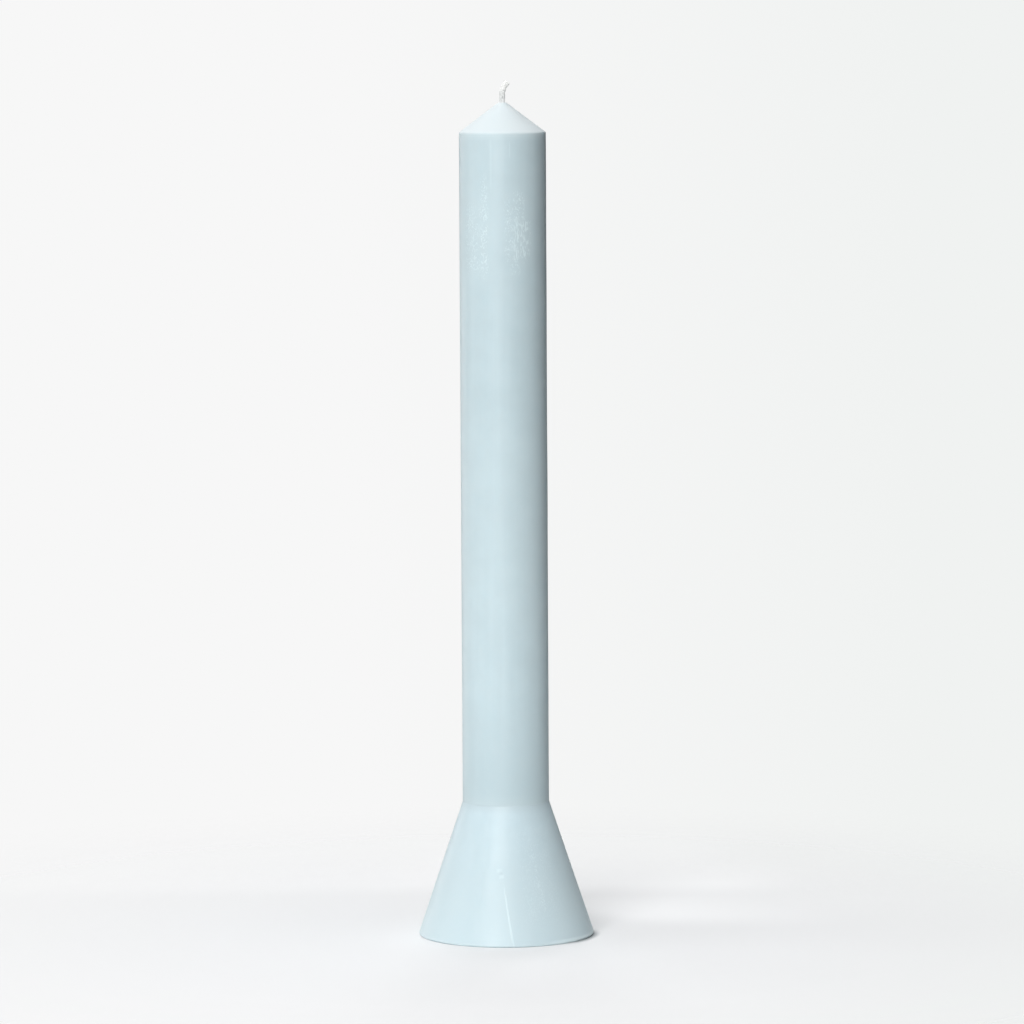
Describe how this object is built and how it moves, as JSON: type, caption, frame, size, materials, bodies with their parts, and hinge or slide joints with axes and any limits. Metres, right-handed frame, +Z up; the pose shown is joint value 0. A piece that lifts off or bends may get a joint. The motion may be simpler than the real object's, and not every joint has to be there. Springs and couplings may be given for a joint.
{
  "type": "altar candle",
  "caption": "Tall straight altar candle in pale blue wax, with a cone tip, a flared cone foot to stand on, and a plaited cotton wick that curls over above the tip.",
  "frame": {"origin": "on the table, under the middle of the foot", "axes": "+Z up along the shaft and the wick; +X the way the free end of the wick curls; -Y towards the viewer of the picture"},
  "size_m": [0.061, 0.061, 0.2972],
  "materials": {
    "shaft_wax": "cast stearin wax, pale blue, satin with faint frosting",
    "foot_wax": "cast stearin wax, pale blue, satin with soft mottling",
    "wick_cotton": "plaited bleached cotton, dry and slightly fuzzy"
  },
  "bodies": {
    "root": {"shaft": "shaft_wax", "foot": "foot_wax", "wick_strand_1": "wick_cotton", "wick_strand_2": "wick_cotton", "wick_strand_3": "wick_cotton"}
  },
  "joints": []
}
